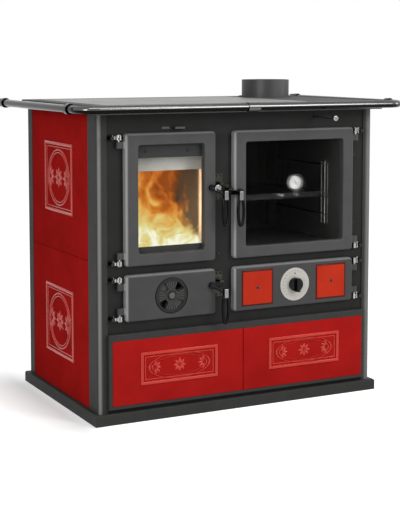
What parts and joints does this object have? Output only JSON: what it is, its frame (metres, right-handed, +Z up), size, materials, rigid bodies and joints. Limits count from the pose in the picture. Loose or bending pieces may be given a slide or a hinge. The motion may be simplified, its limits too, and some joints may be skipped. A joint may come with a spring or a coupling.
{
  "type": "wood-fired range cooker",
  "caption": "Freestanding wood-fired range cooker with a glazed firebox door, a glazed oven door, an ash door, a control door, a log drawer, a steel cooktop and a handrail.",
  "frame": {"origin": "centre of the base plate's underside, on the floor", "axes": "+X to the right seen from the front, +Y to the back, +Z up"},
  "size_m": [1.0412, 0.682, 0.916],
  "materials": {
    "black_enamel": "satin anthracite enamel",
    "red_tile": "red glazed ceramic, opaque",
    "casing_steel": "plain sheet steel",
    "fire_lining": "pale pressed firebrick board",
    "cast_iron": "rough cast",
    "oven_steel": "satin oven wall",
    "rack_wire": "bright wire",
    "oven_enamel": "gloss black enamel",
    "chrome": "polished",
    "cooktop_iron": "fine machined edge, black",
    "ground_steel": "ground",
    "rail_steel": "dark polished tube",
    "catch_steel": "satin black",
    "door_iron": "fine cast, stove black",
    "door_glass": "clear ceramic glass",
    "seal_rope": "braided glass-fibre rope",
    "dark_chrome": "black chrome",
    "dial_aluminium": "satin with printed scale",
    "knob_plastic": "black",
    "black_paint": "flat black"
  },
  "bodies": {
    "cooker": {"base_plate": "black_enamel", "post_front_left": "black_enamel", "post_front_right": "black_enamel", "rear_posts": "black_enamel", "front_frame": "black_enamel", "back_panel": "black_enamel", "tile_left_lower": "red_tile", "tile_left_upper": "red_tile", "tile_right_lower": "red_tile", "tile_right_upper": "red_tile", "inner_casing": "casing_steel", "lining_left": "fire_lining", "lining_right": "fire_lining", "lining_rear": "fire_lining", "grate": "cast_iron", "baffle_plate": "fire_lining", "ash_pan": "casing_steel", "oven_box": "oven_steel", "oven_side_racks": "rack_wire", "oven_tray": "oven_enamel", "thermometer_case": "chrome", "top_frame": "cooktop_iron", "hotplate": "ground_steel", "flue_collar": "cooktop_iron", "rail_left": "rail_steel", "rail_right": "rail_steel", "rail_sleeve": "chrome", "rail_brackets": "rail_steel", "hinge_brackets": "chrome", "hinge_pins": "chrome", "catch_plates": "catch_steel", "drawer_runners": "casing_steel"},
    "hob_lid": {"hob_lid": "ground_steel"},
    "fire_door": {"fire_door_frame": "door_iron", "fire_door_glass": "door_glass", "fire_glass_strips": "black_enamel", "fire_door_seal": "seal_rope"},
    "fire_handle": {"fire_handle_lever": "chrome", "fire_handle_loop": "dark_chrome"},
    "ash_door": {"ash_door": "door_iron", "air_regulator_screw": "casing_steel"},
    "air_disc": {"air_regulator_disc": "black_enamel"},
    "ash_handle": {"ash_handle_lever": "chrome", "ash_handle_loop": "dark_chrome"},
    "oven_door": {"oven_door_frame": "door_iron", "oven_door_glass": "door_glass", "oven_door_seal": "seal_rope"},
    "oven_handle": {"oven_handle_lever": "chrome", "oven_handle_loop": "dark_chrome"},
    "control_door": {"control_door": "door_iron", "control_tiles": "red_tile", "thermostat_dial": "dial_aluminium"},
    "thermostat": {"thermostat_knob": "knob_plastic"},
    "air_slider": {"air_slider": "catch_steel"},
    "bypass": {"bypass_rod": "casing_steel", "bypass_knob": "chrome"},
    "thermometer": {"thermometer_needle": "black_paint"},
    "drawer": {"drawer_front": "black_enamel", "drawer_panels": "red_tile", "drawer_box": "casing_steel"}
  },
  "joints": [
    {"name": "fire_door_hinge", "type": "hinge", "parent": "cooker", "child": "fire_door", "pos_m": [-0.375, -0.2795, 0.606], "axis": [0, 0, -1], "range_deg": [0, 110]},
    {"name": "ash_door_hinge", "type": "hinge", "parent": "cooker", "child": "ash_door", "pos_m": [-0.375, -0.2795, 0.34], "axis": [0, 0, -1], "range_deg": [0, 110]},
    {"name": "oven_door_hinge", "type": "hinge", "parent": "cooker", "child": "oven_door", "pos_m": [0.376, -0.2795, 0.606], "axis": [0, 0, 1], "range_deg": [0, 110]},
    {"name": "control_door_hinge", "type": "hinge", "parent": "cooker", "child": "control_door", "pos_m": [0.376, -0.2795, 0.34], "axis": [0, 0, 1], "range_deg": [0, 110]},
    {"name": "fire_latch", "type": "hinge", "parent": "fire_door", "child": "fire_handle", "pos_m": [-0.101, -0.288, 0.62999], "axis": [0, 1, 0], "range_deg": [0, 40]},
    {"name": "ash_latch", "type": "hinge", "parent": "ash_door", "child": "ash_handle", "pos_m": [-0.101, -0.288, 0.358], "axis": [0, 1, 0], "range_deg": [0, 40]},
    {"name": "oven_latch", "type": "hinge", "parent": "oven_door", "child": "oven_handle", "pos_m": [-0.014, -0.288, 0.61406], "axis": [0, -1, 0], "range_deg": [0, 40]},
    {"name": "air_disc_turn", "type": "hinge", "parent": "ash_door", "child": "air_disc", "pos_m": [-0.224, -0.286, 0.34], "axis": [0, 1, 0], "range_deg": [0, 45]},
    {"name": "thermostat_turn", "type": "hinge", "parent": "control_door", "child": "thermostat", "pos_m": [0.1665, -0.29, 0.34], "axis": [0, 1, 0], "range_deg": [0, 270]},
    {"name": "air_slider_slide", "type": "slide", "parent": "cooker", "child": "air_slider", "axis": [-1, 0, 0], "range_m": [0, 0.028]},
    {"name": "bypass_slide", "type": "slide", "parent": "cooker", "child": "bypass", "axis": [0, -1, 0], "range_m": [-0.06, 0]},
    {"name": "thermometer_turn", "type": "hinge", "parent": "cooker", "child": "thermometer", "pos_m": [0.233, -0.179, 0.61962], "axis": [0, 1, 0], "range_deg": [-100, 170], "stiffness_Nm_per_rad": 0.0005},
    {"name": "drawer_slide", "type": "slide", "parent": "cooker", "child": "drawer", "axis": [0, -1, 0], "range_m": [0, 0.4]},
    {"name": "hob_lid_lift", "type": "slide", "parent": "cooker", "child": "hob_lid", "axis": [0, 0, 1], "range_m": [0, 0.12]}
  ]
}
